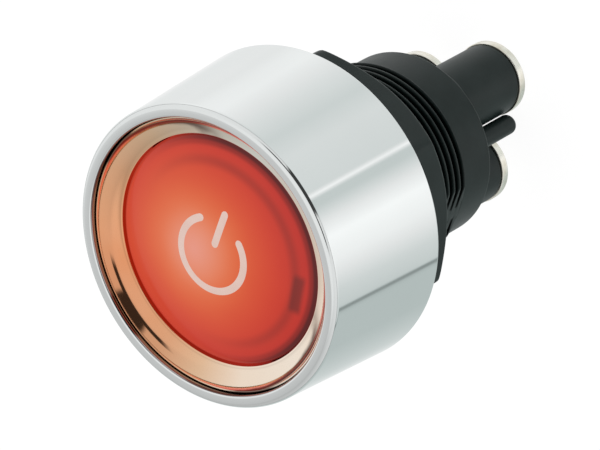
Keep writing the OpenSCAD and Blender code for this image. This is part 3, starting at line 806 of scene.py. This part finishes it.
plated = platedFinish("tin_plate", (0.88, 0.86, 0.78), (0.70, 0.66, 0.55), (0.20, 0.42))
stud = {"disc": 4.15, "edge": 0.25, "radius": 2.2, "stem": 1.3, "shoulder": 2.0, "padDrop": 2.3}
for node, place in zip(terminals, postPlaces):
    low, high = span(node)
    postZ = span("terminal_base")[0][2]
    stemZ = span("housing")[0][2] - rearBody["drumLength"] - stud["shoulder"]
    top = high[2] - stud["padDrop"]
    corners = [(0.001, low[2], 0), (stud["disc"], low[2], stud["edge"]), (stud["disc"], postZ, 0.1),
               (stud["radius"], postZ, 0.02), (stud["radius"], stemZ, 0.1), (stud["stem"], stemZ, 0.05),
               (stud["stem"], top, 0.05), (0.001, top, 0)]
    piece = turned(node + "_stud", corners, "housing", [node], [place], 6, 120)
    dress(plated, piece)
dress(platedFinish("zinc_screw", (0.66, 0.66, 0.65), (0.5, 0.5, 0.47)), "terminal_screws")
print("rear body and terminals made")


# inner pieces

coils = {
    # the piece's name, coil radius, wire, turns, body, and how much a full press shortens it
    "return_spring": ("return_coil", 3.85, 0.7, 7, "housing", 3.0),
    "contact_spring": ("contact_coil", 6.3, 0.6, 4, "contact_ring", 0.75),
}


def coil(node):
    # a wire circle carried along a helix whose end turns lie flat
    name, radius, wire, turns, body, shortens = coils[node]
    low, high = span(node)
    along = np.linspace(0, 1, turns * 48 + 1)
    angle = 2 * np.pi * turns * along
    z0, z1 = low[2] + wire / 2, high[2] - wire / 2
    ease = np.clip((along * turns - 0.75) / (turns - 1.5), 0, 1)
    centre = np.stack([radius * np.cos(angle), radius * np.sin(angle), z0 + (z1 - z0) * ease], -1)
    out = np.stack([np.cos(angle), np.sin(angle), np.zeros_like(angle)], -1)
    up = np.array([0.0, 0.0, 1.0])
    ring = np.linspace(0, 2 * np.pi, 16, endpoint=False)
    points = (centre[:, None] + wire / 2 * (np.cos(ring)[None, :, None] * out[:, None]
              + np.sin(ring)[None, :, None] * up)).reshape(-1, 3)
    faces = gridFaces(len(along), 16)
    for row in (0, len(along) - 1):
        faces.append((row * 16 + np.arange(16)).tolist())
    piece = putMesh(name, points, faces, body, [node])
    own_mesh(piece)
    return piece


wire = platedFinish("spring_wire", (0.52, 0.52, 0.54), (0.40, 0.39, 0.38), (0.2, 0.35))
dress(wire, coil("return_spring"), "bridge_clip", coil("contact_spring"))
dress(blackFinish, "plunger")
white = mouldedLightFinish("white_plastic", (0.82, 0.81, 0.77), (0.76, 0.75, 0.70))
dress(white, "diffuser", "reflector", "lamp_pillar")
dress(platedFinish("copper", (0.80, 0.50, 0.33), (0.55, 0.30, 0.18)), "contact_bridge", "lamp_feed_strip",
      "lamp_return_strip")
dress(mouldedLightFinish("board_green", (0.02, 0.16, 0.06), (0.015, 0.11, 0.045), (0.2, 0.35)), "led_board")
dress(mouldedLightFinish("led_epoxy", (0.80, 0.05, 0.02), (0.65, 0.03, 0.015), (0.08, 0.16)), "led")
dress(mouldedLightFinish("resistor_lacquer", (0.10, 0.26, 0.40), (0.07, 0.20, 0.33), (0.2, 0.35)), "resistor")
print("inner pieces made")


# floor, light and camera

studio = {
    "world": 1.0,
    "camera": Vector((0.15999, 0.23915, 0.30063)),
    "right": Vector((0.75544, 0.25332, -0.60428)),
    "up": Vector((-0.53227, 0.77507, -0.34051)),
    "back": Vector((0.38210, 0.57887, 0.72035)),
    "lens": 240,
}


def makeFloor():
    # a wide pale sheet just under the terminal screws
    size = 2.0
    mesh = bpy.data.meshes.new("floor")
    corners = np.array([(-1, -1), (1, -1), (1, 1), (-1, 1)]) * size
    mesh.from_pydata([(x, y, cadLow.z) for x, y in corners], [], [(0, 1, 2, 3)])
    floor = bpy.data.objects.new("floor", mesh)
    bpy.context.scene.collection.objects.link(floor)
    made = Finish("floor_paper", Roughness=0.9, Specular_IOR_Level=0.1, Emission_Strength=0.92)
    made.shader.inputs["Base Color"].default_value = (0.16, 0.16, 0.16, 1)
    made.shader.inputs["Emission Color"].default_value = (1, 1, 1, 1)
    floor.data.materials.append(made.material)
    floor.visible_glossy = False  # so that the chrome mirrors the tent's sides


tent = {
    # brightness of the tent's side below the horizon, by azimuth in degrees
    "sides": [(-180, 0.95), (-153, 0.90), (-129, 0.97), (-112, 0.85), (-92, 0.73), (-57, 0.61), (-29, 0.62),
              (-26, 0.55), (-24.6, 0.12), (-22.6, 0.72), (-9, 0.80), (12, 1.06), (28, 1.16), (38, 0.98),
              (50, 0.72), (55.5, 0.72), (57.4, 1.15), (60, 0.82), (88, 0.86), (105, 0.78), (124, 0.89),
              (148, 1.05), (160, 1.02), (172, 0.95), (180, 0.95)],
    # and of the slopes above the horizon, which meet in a white top
    "slopes": [(-180, 0.92), (-142, 0.92), (-126, 0.68), (-105, 0.55), (-60, 0.70), (0, 0.90), (60, 0.80),
               (150, 0.92), (180, 0.92)],
    "top": 0.95,
    "dim": (0.90, 1.0, 0.985),  # tint of the dimmer cloth
    "seam": 0.22,  # the dark seam along the horizon
    "opening": 0.05,  # the dark opening that the camera looks through
    # middle and half size of each part of it, azimuth and elevation
    "openingParts": [((63, 44), (44, 8)), ((63, 18), (17, 26))],
}


def makeWorld():
    # a light tent: sides and slopes in soft upright bands, a white top, a dark seam along the horizon,
    # and one dark opening for the camera
    world = bpy.data.worlds.new("studio")
    world.use_nodes = True
    wiring = Wiring(world.node_tree, "Generated")
    parts = wiring.tree.nodes.new("ShaderNodeSeparateXYZ")
    wiring.link(wiring.place, parts.inputs[0])
    x, y, z = parts.outputs
    turn = wiring.math("MULTIPLY_ADD", wiring.math("ARCTAN2", y, x), 0.5 / np.pi, 0.5)

    def aroundTent(name):
        return wiring.ramp(turn, [((angle + 180) / 360, value) for angle, value in tent[name]])

    sides = aroundTent("sides")
    tint = wiring.ramp(sides, [(0.6, tent["dim"]), (0.95, (1.0, 1.0, 1.0))])
    sides = wiring.mix(1.0, sides, tint, "MULTIPLY")
    lift = wiring.math("MULTIPLY_ADD", z, 0.5, 0.5)
    slopes = wiring.mix(wiring.ramp(lift, [(0.88, 0.0), (0.96, 1.0)], "EASE"), aroundTent("slopes"),
                        (tent["top"],) * 3)
    cloth = wiring.mix(wiring.ramp(lift, [(0.49, 0.0), (0.51, 1.0)]), sides, slopes)
    seam = wiring.ramp(wiring.math("ABSOLUTE", z), [(0.02, 1.0), (0.06, 0.0)], "EASE")
    cloth = wiring.mix(seam, cloth, (tent["seam"],) * 3)
    # opening: soft-edged boxes in azimuth and elevation
    degrees = 180 / np.pi
    azimuth = wiring.math("MULTIPLY", wiring.math("ARCTAN2", y, x), degrees)
    elevation = wiring.math("MULTIPLY", wiring.math("ARCSINE", z), degrees)
    for centre, halves in tent["openingParts"]:
        edges = []
        for value, middleOf, half in zip((azimuth, elevation), centre, halves):
            off = wiring.math("ABSOLUTE", wiring.math("SUBTRACT", value, middleOf))
            off = wiring.math("DIVIDE", off, 2 * half)
            edges.append(wiring.ramp(off, [(0.40, 1.0), (0.58, 0.0)], "EASE"))
        cloth = wiring.mix(wiring.math("MULTIPLY", *edges), cloth, (tent["opening"],) * 3)
    background = wiring.tree.nodes["Background"]
    wiring.link(cloth, background.inputs["Color"])
    background.inputs["Strength"].default_value = studio["world"]
    bpy.context.scene.world = world


def makeCamera():
    data = bpy.data.cameras.new("camera")
    data.lens, data.sensor_width = studio["lens"], 36
    data.clip_start, data.clip_end = 0.01, 10
    camera = bpy.data.objects.new("camera", data)
    turn = Matrix((studio["right"], studio["up"], studio["back"])).transposed().to_4x4()
    camera.matrix_world = Matrix.Translation(studio["camera"]) @ turn
    bpy.context.scene.collection.objects.link(camera)
    bpy.context.scene.camera = camera


makeFloor()
makeWorld()
makeCamera()
bpy.context.scene.view_settings.view_transform = "Standard"
print("studio made")
